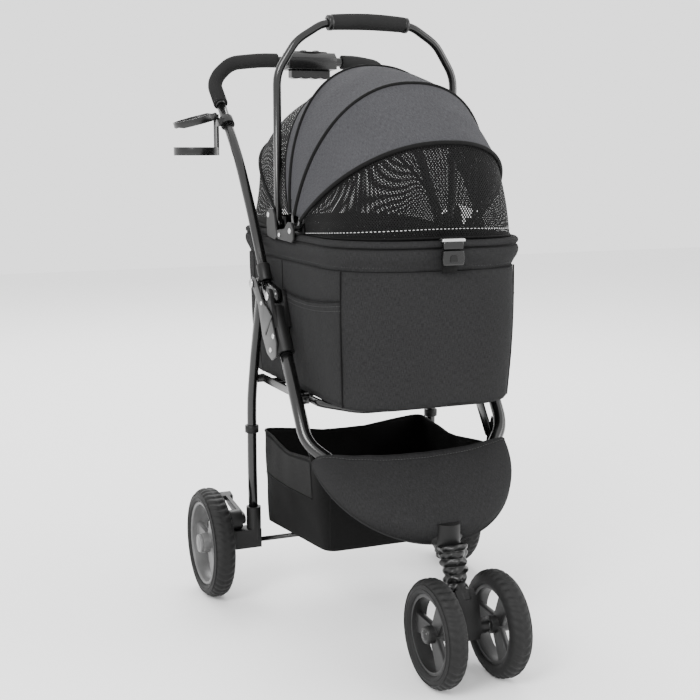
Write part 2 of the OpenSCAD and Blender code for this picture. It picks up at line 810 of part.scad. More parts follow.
// Foam sleeve on the top of the carry handle
module bail_grip() {
    end_x = 66;
    color(foam) difference() {
        sweep(bail_arch(end_x), 11.5, [0, 1, 0]);
        sweep(bail_arch(end_x + 2), bail_r, [0, 1, 0]);
    }
}

front_leg(1);  // front_leg_l
front_leg(-1);  // front_leg_r
fork_head();
knuckle(1);  // knuckle_l
knuckle(-1);  // knuckle_r
gusset_plates();
cradle_frame();
fold_links();
foot_cover();
basket();
rear_leg(1);  // rear_leg_l
rear_leg(-1);  // rear_leg_r
rear_axle_rod();
rear_bracket(1);  // rear_bracket_l
rear_bracket(-1);  // rear_bracket_r
leg_pivot_bolts();
brake_pedal(1);  // brake_pedal_l
brake_pedal(-1);  // brake_pedal_r
rear_tyre(1);  // rear_tyre_l
rear_tyre(-1);  // rear_tyre_r
rear_rim(1);  // rear_rim_l
rear_rim(-1);  // rear_rim_r
rear_hub_cap(1);  // rear_hub_cap_l
rear_hub_cap(-1);  // rear_hub_cap_r
caster_stem();
suspension_boot();
caster_block();
front_axle();
front_tyre(1);  // front_tyre_l
front_tyre(-1);  // front_tyre_r
front_rim(1);  // front_rim_l
front_rim(-1);  // front_rim_r
push_tube(1);  // push_tube_l
push_tube(-1);  // push_tube_r
handlebar();
grip(1);  // grip_l
grip(-1);  // grip_r
handle_module();
cup_holder();
hinge_pins();
squeeze_lever();
latch_sleeves();
tub();
base_board();
cushion();
rim_frame();
rear_mesh();
rear_hoop();
side_brackets();
buckle_base();
bail_tube();
bail_grip();
canopy_rear();
canopy_middle();
canopy_front();
mesh_front();
back_hoop();
middle_hoop();
front_hoop();
buckle_clip();
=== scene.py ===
import json
import math

import bpy
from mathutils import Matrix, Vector, noise


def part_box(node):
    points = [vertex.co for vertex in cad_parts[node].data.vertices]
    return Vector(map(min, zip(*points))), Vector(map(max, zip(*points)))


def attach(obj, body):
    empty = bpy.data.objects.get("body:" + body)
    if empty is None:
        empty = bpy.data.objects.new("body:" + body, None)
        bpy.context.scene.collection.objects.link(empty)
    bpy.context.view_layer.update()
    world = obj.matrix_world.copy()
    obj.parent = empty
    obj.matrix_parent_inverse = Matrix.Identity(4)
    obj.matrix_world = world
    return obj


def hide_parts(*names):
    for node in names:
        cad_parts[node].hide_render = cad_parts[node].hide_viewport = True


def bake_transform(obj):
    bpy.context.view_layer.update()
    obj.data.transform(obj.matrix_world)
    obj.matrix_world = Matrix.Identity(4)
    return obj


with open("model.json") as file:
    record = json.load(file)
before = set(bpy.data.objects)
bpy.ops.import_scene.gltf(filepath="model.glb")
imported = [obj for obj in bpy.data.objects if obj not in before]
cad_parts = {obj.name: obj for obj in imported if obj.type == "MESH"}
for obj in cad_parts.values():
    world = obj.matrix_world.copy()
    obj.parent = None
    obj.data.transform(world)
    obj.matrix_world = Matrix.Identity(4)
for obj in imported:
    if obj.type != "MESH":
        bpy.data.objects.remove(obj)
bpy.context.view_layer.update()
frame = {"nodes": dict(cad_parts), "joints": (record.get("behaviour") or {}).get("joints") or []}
SCENE = bpy.context.scene
SIDES = (("r", -1), ("l", 1))  # right is -x, left is +x


# ---- camera and light ----

LENS_MM, SENSOR_MM = 65.2, 36
CAMERA_AT = (-0.8493, -1.8383, 0.7750)
CAMERA_FORWARD = Vector((0.3898, 0.9068, -0.1602))
LIGHT_TARGET = Vector((0, 0, 0.5))
WORLD_STRENGTH = 1.9


def make_camera():
    data = bpy.data.cameras.new("camera")
    data.lens, data.sensor_width = LENS_MM, SENSOR_MM
    camera = bpy.data.objects.new("camera", data)
    SCENE.collection.objects.link(camera)
    camera.location = CAMERA_AT
    camera.rotation_euler = CAMERA_FORWARD.to_track_quat("-Z", "Y").to_euler()
    SCENE.camera = camera


def area_light(name, at, size, watts):
    data = bpy.data.lights.new(name, "AREA")
    data.energy, data.size = watts, size
    light = bpy.data.objects.new(name, data)
    SCENE.collection.objects.link(light)
    light.location = at
    light.rotation_euler = (LIGHT_TARGET - Vector(at)).to_track_quat("-Z", "Y").to_euler()


def make_world():
    """Even white surroundings."""
    world = bpy.data.worlds.new("studio")
    SCENE.world = world
    world.use_nodes = True
    background = world.node_tree.nodes["Background"]
    background.inputs["Color"].default_value = (1, 1, 1, 1)
    background.inputs["Strength"].default_value = WORLD_STRENGTH


make_camera()
area_light("key", (-2.6, -2.4, 3.0), 1.6, 170)
area_light("fill", (3.0, -1.8, 1.6), 2.0, 70)
area_light("rim", (0.4, 2.8, 3.0), 2.0, 110)
make_world()


# ---- materials ----

class Mat:
    """A Principled material with the few nodes its finish needs."""

    def __init__(self, name, rough, metallic=0.0, specular=0.5):
        self.mat = bpy.data.materials.new(name)
        self.mat.use_nodes = True
        self.tree = self.mat.node_tree
        self.bsdf = self.tree.nodes["Principled BSDF"]
        self.bsdf.inputs["Roughness"].default_value = rough
        self.bsdf.inputs["Metallic"].default_value = metallic
        self.bsdf.inputs["Specular IOR Level"].default_value = specular

    def node(self, kind, **sockets):
        n = self.tree.nodes.new("ShaderNode" + kind)
        for key, value in sockets.items():
            n.inputs[key].default_value = value
        return n

    def link(self, a, b):
        self.tree.links.new(a, b)

    def place(self, space, scale):
        """Texture coordinates in one space, stretched by scale on each axis."""
        mapping = self.node("Mapping", Scale=scale)
        self.link(self.node("TexCoord").outputs[space], mapping.inputs["Vector"])
        return mapping.outputs["Vector"]

    def noise(self, space, scale, detail=2.0):
        n = self.node("TexNoise", Scale=1.0, Detail=detail)
        self.link(self.place(space, scale), n.inputs["Vector"])
        return n.outputs["Fac"]

    def wave(self, space, scale, direction="X"):
        n = self.node("TexWave", Scale=1.0)
        n.bands_direction = direction
        self.link(self.place(space, scale), n.inputs["Vector"])
        return n.outputs["Fac"]

    def math(self, op, a, b, clamp=False):
        n = self.tree.nodes.new("ShaderNodeMath")
        n.operation, n.use_clamp = op, clamp
        for i, v in enumerate((a, b)):
            if isinstance(v, (int, float)):
                n.inputs[i].default_value = v
            else:
                self.link(v, n.inputs[i])
        return n.outputs[0]

    def ramp(self, fac, stops):
        n = self.tree.nodes.new("ShaderNodeValToRGB")
        for _ in range(len(stops) - 2):
            n.color_ramp.elements.new(0.5)
        for e, (at, value) in zip(n.color_ramp.elements, stops):
            e.position = at
            e.color = (*value, 1) if hasattr(value, "__len__") else (value, value, value, 1)
        self.link(fac, n.inputs["Fac"])
        return n.outputs["Color"]

    def colour(self, fac, stops):
        self.link(self.ramp(fac, stops), self.bsdf.inputs["Base Color"])

    def rough(self, fac, low, high):
        self.link(self.ramp(fac, [(0.3, low), (0.7, high)]), self.bsdf.inputs["Roughness"])

    def bump(self, height, strength, distance):
        n = self.node("Bump", Strength=strength, Distance=distance)
        self.link(height, n.inputs["Height"])
        self.link(n.outputs["Normal"], self.bsdf.inputs["Normal"])


def linen(name, dark, light, tint=(1, 1, 1.02)):
    """Heathered plain weave: long slubs both ways over a fine thread."""
    m = Mat(name, 0.9, specular=0.08)
    warp = m.noise("UV", (1300, 150, 1), 3)
    weft = m.noise("UV", (170, 1200, 1), 3)
    cloud = m.noise("UV", (9, 7, 1), 2)
    mixed = m.math("ADD", m.math("MULTIPLY", warp, 0.55), m.math("MULTIPLY", weft, 0.35))
    mixed = m.math("ADD", mixed, m.math("MULTIPLY", cloud, 0.1))
    shades = ((0.34, dark), (0.5, (dark + light) / 2), (0.66, light))
    m.colour(mixed, [(at, tuple(shade * t for t in tint)) for at, shade in shades])
    threads = m.math("ADD", m.wave("UV", (420, 420, 1), "X"), m.wave("UV", (420, 420, 1), "Y"))
    m.bump(m.math("ADD", threads, mixed), 0.35, 0.0006)
    return m.mat


def net(name, shade, pitch, open_at):
    """Open mesh: a diagonal lattice of holes in a black knit."""
    m = Mat(name, 0.7, specular=0.1)
    uv = m.node("SeparateXYZ")
    turns = 2 * math.pi / pitch
    m.link(m.place("UV", (turns, turns, 1)), uv.inputs[0])
    product = m.math("MULTIPLY", m.math("SINE", uv.outputs[0], 0), m.math("SINE", uv.outputs[1], 0))
    hole = m.math("MULTIPLY", m.math("SUBTRACT", product, open_at), 8, clamp=True)
    m.link(m.math("SUBTRACT", 1, m.math("MULTIPLY", hole, 0.96)), m.bsdf.inputs["Alpha"])
    m.colour(m.noise("UV", (300, 300, 1)), [(0.3, shade * 0.7), (0.7, shade * 1.4)])
    m.bump(product, 0.5, 0.0005)
    return m.mat


def woven(name, shade, rough=0.8):
    """Plain black basket cloth or webbing."""
    m = Mat(name, rough, specular=0.1)
    grain = m.noise("UV", (240, 240, 1), 3)
    m.colour(grain, [(0.3, shade * 0.75), (0.7, shade * 1.3)])
    threads = m.math("ADD", m.wave("UV", (260, 260, 1), "X"), m.wave("UV", (260, 260, 1), "Y"))
    m.bump(threads, 0.3, 0.0005)
    return m.mat


def moulded(name, shade, rough, grain=0.25, specular=0.2, size=900):
    """Moulded plastic, paint, foam or rubber: fine grain and uneven gloss."""
    m = Mat(name, rough, specular=specular)
    fine = m.noise("Object", (size, size, size), 3)
    broad = m.noise("Object", (22, 22, 22), 4)
    m.colour(m.math("ADD", m.math("MULTIPLY", fine, 0.4), m.math("MULTIPLY", broad, 0.6)),
             [(0.35, shade * 0.82), (0.65, shade * 1.2)])
    m.rough(broad, rough * 0.88, min(1, rough * 1.15))
    m.bump(fine, grain, 0.0005)
    return m.mat


def metal(name, shade, rough):
    """Brushed steel, its streaks along x."""
    m = Mat(name, rough, metallic=1.0)
    streak = m.noise("Object", (60, 900, 900), 3)
    m.colour(streak, [(0.3, shade * 0.8), (0.7, shade)])
    m.rough(streak, rough * 0.8, rough * 1.3)
    m.bump(streak, 0.08, 0.0003)
    return m.mat


CHARCOAL = linen("charcoal_linen", 0.009, 0.024)
GREY = linen("grey_linen", 0.026, 0.062, (1, 1, 1.08))
LINING = linen("lining", 0.01, 0.02)
NET = net("black_net", 0.004, 0.0044, 0.52)
BASKET_CLOTH = woven("basket_cloth", 0.0035)
PANEL = woven("basket_panel", 0.011)
BINDING = woven("binding", 0.004, 0.7)
WEBBING = woven("webbing", 0.005, 0.75)
THREAD = moulded("thread", 0.05, 0.8)
THREAD_LIGHT = moulded("thread_light", 0.5, 0.8)
PAINT = moulded("satin_black_paint", 0.003, 0.2, 0.03, 0.5)
PLASTIC = moulded("matte_black_plastic", 0.006, 0.42, 0.3)
GLOSS = moulded("gloss_black_plastic", 0.005, 0.25, 0.05, 0.4)
FOAM = moulded("foam", 0.014, 0.9, 0.8, 0.1, 1400)
BOOT = moulded("boot_rubber", 0.004, 0.35, 0.15, 0.35)
TYRE = moulded("tyre_rubber", 0.008, 0.6, 0.5, 0.2)
RIM_GREY = moulded("rim_grey", 0.085, 0.4, 0.1, 0.4)
RIM_DARK = moulded("rim_dark", 0.012, 0.4, 0.15, 0.3)
PLATE = moulded("dark_plate", 0.014, 0.36, 0.1, 0.35)
STEEL = metal("steel", 0.6, 0.28)
FLOOR = Mat("floor", 0.9, specular=0.1).mat
FLOOR.node_tree.nodes["Principled BSDF"].inputs["Base Color"].default_value = (0.9, 0.9, 0.9, 1)


# ---- building ----

def add(name, verts, faces, uvs=None):
    """A smooth-shaded mesh object, with UVs given face by face."""
    mesh = bpy.data.meshes.new(name)
    mesh.from_pydata([tuple(v) for v in verts], [], faces)
    if uvs:
        layer = mesh.uv_layers.new(name="UVMap")
        flat = [c for face in uvs for uv in face for c in uv]
        layer.data.foreach_set("uv", flat)
    mesh.polygons.foreach_set("use_smooth", [True] * len(mesh.polygons))
    mesh.update()
    obj = bpy.data.objects.new(name, mesh)
    SCENE.collection.objects.link(obj)
    return obj


def dress(obj, mat, body, slot, *nodes):
    """Gives a piece its material and its body, and hides the CAD nodes that it replaces; slot is not used."""
    obj.data.materials.append(mat)
    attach(obj, body)
    if nodes:
        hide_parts(*nodes)
    return obj


def thicken(obj, thickness, offset=-1.0):
    mod = obj.modifiers.new("thickness", "SOLIDIFY")
    mod.thickness, mod.offset = thickness, offset
    return obj


def grid(name, rows, wrap=False, cap=False):
    """Quads over rows of points, with UVs in metres along and across the rows."""
    n, count = len(rows[0]), len(rows)
    verts = [p for row in rows for p in row]
    widest = max(rows, key=lambda row: sum((a - b).length for a, b in zip(row, row[1:])))
    along = [0.0]
    for a, b in zip(widest, widest[1:] + ([widest[0]] if wrap else [])):
        along.append(along[-1] + (b - a).length)
    mid = n // 4
    across = [0.0]
    for a, b in zip(rows, rows[1:]):
        across.append(across[-1] + (b[mid] - a[mid]).length)
    faces, uvs = [], []
    for j in range(count - 1):
        for i in range(n if wrap else n - 1):
            k = (i + 1) % n
            faces.append((j * n + i, j * n + k, (j + 1) * n + k, (j + 1) * n + i))
            uvs.append(((along[i], across[j]), (along[i + 1], across[j]),
                        (along[i + 1], across[j + 1]), (along[i], across[j + 1])))
    if cap:
        for j in (0, count - 1):
            order = range(n) if j else reversed(range(n))
            faces.append(tuple(j * n + i for i in order))
            uvs.append(tuple((verts[q].x, verts[q].y) for q in faces[-1]))
    return add(name, verts, faces, uvs)


def lathe(name, profile, at, axis, steps=48, dent=None):
    """Solid of revolution: profile is [(along, radius)], about the axis through at."""
    axis = Vector(axis).normalized()
    side = axis.orthogonal().normalized()
    up = axis.cross(side)
    rows = []
    for along, radius in profile:
        row = []
        for k in range(steps):
            turn = 2 * math.pi * k / steps
            r = radius + (dent(turn, along, radius) if dent else 0)
            row.append(Vector(at) + axis * along + (side * math.cos(turn) + up * math.sin(turn)) * r)
        rows.append(row)
    return grid(name, rows, wrap=True)


def pipe(name, points, radius, closed=False, sides=3):
    """A round curve through points."""
    curve = bpy.data.curves.new(name, "CURVE")
    curve.dimensions = "3D"
    curve.bevel_depth, curve.bevel_resolution, curve.use_fill_caps = radius, sides, True
    spline = curve.splines.new("POLY")
    spline.points.add(len(points) - 1)
    for p, q in zip(spline.points, points):
        p.co = (*q, 1)
    spline.use_cyclic_u = closed
    spline.use_smooth = True
    obj = bpy.data.objects.new(name, curve)
    SCENE.collection.objects.link(obj)
    return obj


def tube(name, points, radius, mat, body, slot, closed=False, sides=3):
    return dress(pipe(name, points, radius, closed, sides), mat, body, slot)


def solid(name, outline, x0, x1, bevel, plane="yz"):
    """Rounded plate: an outline in a plane, extruded from x0 to x1 square to it."""
    place = {"yz": lambda a, b, x: Vector((x, a, b)),
             "xz": lambda a, b, x: Vector((a, x, b)),
             "xy": lambda a, b, x: Vector((a, b, x))}[plane]
    n = len(outline)
    verts = [place(a, b, x) for x in (x0, x1) for a, b in outline]
    faces = [tuple(range(n)), tuple(range(2 * n - 1, n - 1, -1))]
    faces += [(i, n + i, n + (i + 1) % n, (i + 1) % n) for i in range(n)]
    obj = add(name, verts, faces)
    obj.data.polygons.foreach_set("use_smooth", [False] * len(obj.data.polygons))
    mod = obj.modifiers.new("round", "BEVEL")
    mod.width, mod.segments, mod.limit_method = bevel, 3, "ANGLE"
    return obj


def stitches(name, path, body, mat=THREAD, pitch=0.005, length=0.0032, radius=0.00035):
    """A row of thread stitches laid along a path of points, each a short spindle."""
    sides = 5
    stations = ((0, 0.5), (length * 0.3, 1), (length * 0.7, 1), (length, 0.5))
    verts, faces = [], []
    travel, due = 0.0, 0.0
    for a, b in zip(path, path[1:]):
        step = (b - a).length
        while step > 0 and due <= travel + step:
            d = (b - a) / step
            p = a + d * (due - travel)
            side = d.orthogonal().normalized()
            up = d.cross(side)
            base = len(verts)
            for along, r in stations:
                for k in range(sides):
                    t = 2 * math.pi * k / sides
                    verts.append(p + d * along + (side * math.cos(t) + up * math.sin(t)) * radius * r)
            last = base + sides * (len(stations) - 1)
            for row in range(base, last, sides):
                for k in range(sides):
                    m = (k + 1) % sides
                    faces.append((row + k, row + m, row + sides + m, row + sides + k))
            faces.append(tuple(base + k for k in reversed(range(sides))))
            faces.append(tuple(last + k for k in range(sides)))
            due += pitch
        travel += step
    dress(add(name, verts, faces), mat, body, "charcoal_linen")


def rivet(name, at, axis, radius, body):
    """Domed steel rivet head."""
    dome = [(0.0, radius), (0.0006, radius), (0.0014, radius * 0.82), (0.002, radius * 0.45),
            (0.0022, 0.0001)]
    dress(lathe(name, dome, at, axis, 20), STEEL, body, "steel")


def resample(points, count):
    """Evenly spaced points along a path."""
    lengths = [0.0]
    for a, b in zip(points, points[1:]):
        lengths.append(lengths[-1] + (b - a).length)
    out, k = [], 0
    for i in range(count):
        want = lengths[-1] * i / (count - 1)
        while k < len(points) - 2 and lengths[k + 1] < want:
            k += 1
        span = lengths[k + 1] - lengths[k]
        f = (want - lengths[k]) / span if span else 0
        out.append(points[k].lerp(points[k + 1], min(1, max(0, f))))
    return out


def lerp(a, b, f):
    return a + (b - a) * f


def sign_of(p):
    """1 on the left, -1 on the right."""
    return math.copysign(1, p.x)


def ripple(p, size, amount):
    """Unevenness that changes with place."""
    return noise.noise(Vector(p) / size) * amount


def select_only(obj):
    for other in bpy.context.selected_objects:
        other.select_set(False)
    bpy.context.view_layer.objects.active = obj
    obj.select_set(True)


# ---- CAD nodes kept, with their finishes ----

def finish_cad(mat, names, bevel=0.0):
    """Gives CAD nodes a material, shading that stays sharp at edges, and corners rounded by bevel."""
    for name in names.split():
        obj = frame["nodes"][name]
        obj.data.materials.clear()
        obj.data.materials.append(mat)
        obj.data.polygons.foreach_set("use_smooth", [True] * len(obj.data.polygons))
        obj.data.set_sharp_from_angle(angle=math.radians(35))
        weld = obj.modifiers.new("weld", "WELD")
        weld.merge_threshold = 0.00002
        if bevel:
            mod = obj.modifiers.new("round", "BEVEL")
            mod.width, mod.segments, mod.limit_method = bevel, 2, "ANGLE"
            mod.angle_limit = math.radians(40)


finish_cad(PAINT, "front_leg_l front_leg_r rear_leg_l rear_leg_r push_tube_l push_tube_r handlebar bail_tube "
           "rear_axle_rod front_axle")
finish_cad(PAINT, "cradle_frame fold_links back_hoop middle_hoop front_hoop", 0.0006)
finish_cad(PLASTIC, "fork_head knuckle_l knuckle_r rear_bracket_l rear_bracket_r brake_pedal_l brake_pedal_r "
           "caster_stem caster_block latch_sleeves side_brackets", 0.001)
finish_cad(GLOSS, "handle_module cup_holder", 0.0014)
finish_cad(RIM_GREY, "rear_rim_l rear_rim_r", 0.0012)
finish_cad(RIM_DARK, "front_rim_l front_rim_r", 0.0012)
finish_cad(STEEL, "hinge_pins leg_pivot_bolts")
finish_cad(PLATE, "gusset_plates", 0.0008)
finish_cad(FOAM, "grip_l grip_r")
finish_cad(PLASTIC, "base_board")


# ---- carrier ----

TUB_LOW, TUB_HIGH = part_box("tub")
RIM_LOW, RIM_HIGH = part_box("rim_frame")
FLOOR_HALF, FLOOR_FRONT, FLOOR_REAR = 0.140, TUB_LOW.y + 0.013, TUB_HIGH.y - 0.009
TOP_HALF, TOP_FRONT, TOP_REAR = TUB_HIGH.x, TUB_LOW.y, TUB_HIGH.y
FLOOR_R_FRONT, FLOOR_R_REAR = 0.072, 0.045
TOP_R_FRONT, TOP_R_REAR = 0.100, 0.052
RING = 200  # points in a ring of the carrier's wall


def ring(half, front, rear, r_front, r_rear, z, count=RING):
    """Rounded rectangle from the rear middle, by the right side and the front, back to the rear middle."""
    def arc(cx, cy, r, a0, a1):
        turns = (math.radians(a0 + (a1 - a0) * i / 16) for i in range(17))
        return [Vector((cx + r * math.cos(t), cy + r * math.sin(t), z)) for t in turns]
    path = [Vector((0, rear, z))]
    path += arc(-half + r_rear, rear - r_rear, r_rear, 90, 180)
    path += arc(-half + r_front, front + r_front, r_front, 180, 270)
    path += arc(half - r_front, front + r_front, r_front, 270, 360)
    path += arc(half - r_rear, rear - r_rear, r_rear, 0, 90)
    path.append(Vector((0, rear, z)))
    return resample(path, count + 1)[:-1]


def tub_ring(v, out=0.0):
    """Ring of the carrier's wall, v from 0 at the floor to 1 under the collar."""
    grow = out + 0.0022 * math.sin(math.pi * v)
    return ring(lerp(FLOOR_HALF, TOP_HALF, v) + grow, lerp(FLOOR_FRONT, TOP_FRONT, v) - grow,
                lerp(FLOOR_REAR, TOP_REAR, v) + grow, lerp(FLOOR_R_FRONT, TOP_R_FRONT, v),
                lerp(FLOOR_R_REAR, TOP_R_REAR, v), lerp(TUB_LOW.z, TUB_HIGH.z, v))


def crease(p, v):
    """Soft unevenness of the cloth wall, strongest near the floor."""
    return ripple(p, 0.07, 0.0016) + ripple((p.x * 3, p.y * 3, p.z), 0.06, 0.0009) * (1 - v)


def pushed(row, centre, amount):
    """A ring's points moved away from its centre, each by its own amount."""
    return [p + (p - centre).normalized() * amount(p) for p in row]


def make_tub():
    """The carrier's cloth: rings of its floor, then of its wall."""
    centre_y = (TOP_FRONT + TOP_REAR) / 2
    rows = []
    for inset, lift in ((0.1, 0.0006), (0.03, 0.0004), (0.006, 0.0), (0.0018, 0.0014)):
        rows.append(ring(FLOOR_HALF - inset, FLOOR_FRONT + inset, FLOOR_REAR - inset,
                         max(0.02, FLOOR_R_FRONT - inset), max(0.02, FLOOR_R_REAR - inset), TUB_LOW.z + lift))
    steps = 30
    for j in range(steps + 1):
        v = 0.02 + 0.98 * j / steps
        row = tub_ring(v)
        centre = Vector((0, centre_y, row[0].z))
        rows.append(pushed(row, centre, lambda p: crease(p, v)))
    tub = thicken(grid("tub_cloth", rows, wrap=True), 0.003, 1.0)
    dress(tub, CHARCOAL, "carrier", "charcoal_linen", "tub")


def wall_column(y, sign):
    """Index of the ring point nearest to y on one side of the carrier."""
    row = tub_ring(1)
    side = [i for i, p in enumerate(row) if p.x * sign > 0.09]
    return min(side, key=lambda i: abs(row[i].y - y))


def wall_point(index, v, out):
    """Point of the wall at a ring index, which may lie between two points."""
    row = tub_ring(v, out)
    low = int(index)
    return row[low % RING].lerp(row[(low + 1) % RING], index - low)


# The collar's section: millimetres out from the wall's top, metres up from the collar's foot.
COLLAR = [(0.0, -0.001), (0.9, 0.003), (3.6, 0.010), (6.6, 0.016), (8.3, 0.022), (8.6, 0.0265),
          (7.6, 0.0305), (5.6, 0.0325), (4.6, 0.0335), (5.2, 0.0345), (7.4, 0.0357), (8.2, 0.0385),
          (7.6, 0.0415), (5.4, 0.0437), (2.0, 0.0445), (-1.0, 0.044), (-3.0, 0.041), (-3.9, 0.034),
          (-4.0, 0.018), (-4.0, 0.001)]


def rim_ring(out, z, count=RING):
    """Ring of the collar, out in millimetres beyond the top of the wall."""
    d = out / 1000
    return ring(TOP_HALF + d, TOP_FRONT - d * 1.5, TOP_REAR + d * 1.5, TOP_R_FRONT + d, TOP_R_REAR + d,
                z, count)


def make_rim():
    """Padded collar round the carrier's mouth, with its zip, seam and stitches."""
    base = RIM_LOW.z
    rows = []
    for out, up in COLLAR:
        row = rim_ring(out, base + up)
        centre = Vector((0, 0, base + up))
        rows.append(pushed(row, centre, lambda p: ripple(p, 0.05, 0.0006)))
    rim = grid("collar_cloth", rows, wrap=True)
    dress(rim, CHARCOAL, "carrier", "charcoal_linen", "rim_frame")
    tube("zip_line", rim_ring(5.1, base + 0.0335), 0.0013, BINDING, "carrier", "mesh", closed=True)
    tube("collar_seam", rim_ring(0.35, base - 0.0002), 0.0009, BINDING, "carrier", "charcoal_linen",
         closed=True)
    closed = rim_ring(1.9, base + 0.0062)
    stitches("collar_stitches", closed + closed[:1], "carrier")


POCKET_REAR, POCKET_FRONT = 0.053, -0.158  # y of the two seams that a side pocket is sewn into


def make_seams(side, sign):
    """Upright wall seams: two beside the pocket and one near the rear corner."""
    for k, (y, radius) in enumerate(((POCKET_REAR, 0.0012), (POCKET_FRONT, 0.0012), (0.19, 0.0011))):
        column = wall_column(y, sign)
        path = [wall_point(column, v / 24, 0.0030) for v in range(25)]
        tube(f"wall_seam_{side}{k}", path, radius, BINDING, "carrier", "charcoal_linen")


make_tub()
make_rim()
for side, sign in SIDES:
    make_seams(side, sign)
tube("floor_welt", tub_ring(0.015, 0.0008), 0.0014, BINDING, "carrier", "charcoal_linen", closed=True)


def make_pocket(side, sign):
    """Patch pocket between the two side seams, with a sagging hemmed mouth."""
    a, b = wall_column(POCKET_REAR, sign), wall_column(POCKET_FRONT, sign)
    cols, steps = 36, 22
    rows = []
    for j in range(steps + 1):
        f = j / steps
        row = []
        for i in range(cols + 1):
            g = i / cols
            middle = math.sin(math.pi * g)
            mouth = 0.765 - 0.035 * middle + 0.02 * g
            loose = 0.0030 + 0.0040 * f ** 2 * middle ** 0.7
            p = wall_point(lerp(a, b, g), lerp(0.03, mouth, f), loose)
            p.x += sign * (ripple((p.x, p.y * 2.2, p.z * 0.8), 0.035, 0.0016) * middle)
            row.append(p)
        rows.append(row)
    pocket = grid(f"side_pocket_{side}", rows)
    thicken(pocket, 0.0012, 0.0)
    dress(pocket, CHARCOAL, "carrier", "charcoal_linen")
    top = [p + Vector((sign * 0.0007, 0, 0)) for p in rows[-1]]
    tube(f"pocket_hem_{side}", top, 0.0009, BINDING, "carrier", "charcoal_linen")
    for k, row in enumerate((rows[-2], rows[-3])):
        stitches(f"pocket_stitches_{side}{k}", [p + Vector((sign * 0.001, 0, 0)) for p in row], "carrier")


for side, sign in SIDES:
    make_pocket(side, sign)


# ---- canopy ----

HOOD_JOINT = next(j for j in frame["joints"] if j["name"] == "hood_front_swing")
PIVOT = Vector((0, HOOD_JOINT["pos_m"][1], HOOD_JOINT["pos_m"][2]))
BOW_POWER = 2.25  # 2 is an ellipse, more is squarer
HEM_REAR, BOW_BACK, BOW_MIDDLE, BOW_FRONT = -29.5, -12, 22.8, 58  # degrees forward of upright
BOW_SIZES = [(HEM_REAR, 0.1615, 0.2575), (BOW_BACK, 0.1622, 0.2548),  # angle, half width, height
             (BOW_MIDDLE, 0.1605, 0.2345), (BOW_FRONT, 0.1550, 0.2440)]
REAR_FOOT, REAR_LEAN = Vector((0, 0.085, 0.662)), -57
REAR_HALF, REAR_HIGH, REAR_POWER = 0.146, 0.236, 3.1


def bow_point(angle, turn, half, high):
    """Point on a bow's section, turn from 0 on the left to 180 on the right."""
    c, s = math.cos(math.radians(turn)), math.sin(math.radians(turn))
    x = half * math.copysign(abs(c) ** (2 / BOW_POWER), c)
    h = high * max(0.0, s) ** (2 / BOW_POWER)
    a = math.radians(angle)
    return Vector((x, PIVOT.y - h * math.sin(a), PIVOT.z + h * math.cos(a)))


def rise(p):
    """Distance of a point from the line through the canopy's pivots."""
    return (Vector((0, p.y, p.z)) - PIVOT).length


def bow(angle, half, high, count=97, foot=0.022):
    """Evenly spaced points along a bow, above its feet."""
    path = [bow_point(angle, 180 * i / 400, half, high) for i in range(401)]
    return resample([p for p in path if rise(p) >= foot], count)


def canopy_size(angle):
    """Half width and height of the cloth at an angle, straight from bow to bow."""
    for (low, half0, high0), (high, half1, high1) in zip(BOW_SIZES, BOW_SIZES[1:]):
        if angle <= high:
            f = (angle - low) / (high - low)
            return lerp(half0, half1, f), lerp(high0, high1, f)
    return BOW_SIZES[-1][1:]


def canopy_sag(angle):
    """How far the stretched cloth dips between the bows, as a share of its height."""
    for (low, _, _), (high, _, _) in zip(BOW_SIZES, BOW_SIZES[1:]):
        if low <= angle <= high:
            spread = math.radians(high - low) / 2
            off = math.radians(angle - low) - spread
            return 0.78 * (1 - math.cos(spread) / math.cos(off))
    return 0.0


def with_blend(obj):
    """Bakes a piece's transform into its mesh."""
    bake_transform(obj)


def make_canopy():
    """One cloth over all the bows, dipping a little between them."""
    rows = []
    steps = 60
    for j in range(steps + 1):
        angle = lerp(HEM_REAR, BOW_FRONT, j / steps)
        half, high = canopy_size(angle)
        sag = canopy_sag(angle)
        row = []
        for p in bow(angle, half, high):
            out = p - PIVOT
            wave = ripple((p.x, p.y * 1.5, p.z), 0.05, 0.0022) * min(1, sag * 80)
            row.append(PIVOT + out * (1 - sag * (0.35 + 0.65 * rise(p) / high)) + out.normalized() * wave)
        rows.append(row)
    canopy = thicken(grid("canopy_cloth", rows), 0.0012, 0.0)
    canopy.data.materials.append(GREY)
    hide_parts("canopy_rear", "canopy_middle", "canopy_front")
    with_blend(canopy)


def make_piping(name, angle, radius, moves):
    """Piping over a bow. Where the bow moves, the piping becomes a mesh with its transform baked in."""
    half, high = canopy_size(angle)
    path = bow(angle, half + 0.0008, high + 0.0008, 121)
    if not moves:
        tube(f"piping_{name}", path, radius, BINDING, "carrier", "mesh")
        return
    piping = pipe(f"piping_{name}", path, radius)
    piping.data.materials.append(BINDING)
    select_only(piping)
    bpy.ops.object.convert(target="MESH")
    with_blend(piping)


def rim_arc(y_from, front, count):
    """Part of the collar's top, from the left side round the front or the rear to the right side."""
    row = rim_ring(-2.4, RIM_HIGH.z + 0.0006, 800)
    if front:
        return resample([p for p in reversed(row) if p.y <= y_from], count)
    part = [p for p in row if p.y >= y_from]
    part.sort(key=lambda p: -math.atan2(p.x, p.y - y_from + 0.02))
    return resample(part, count)


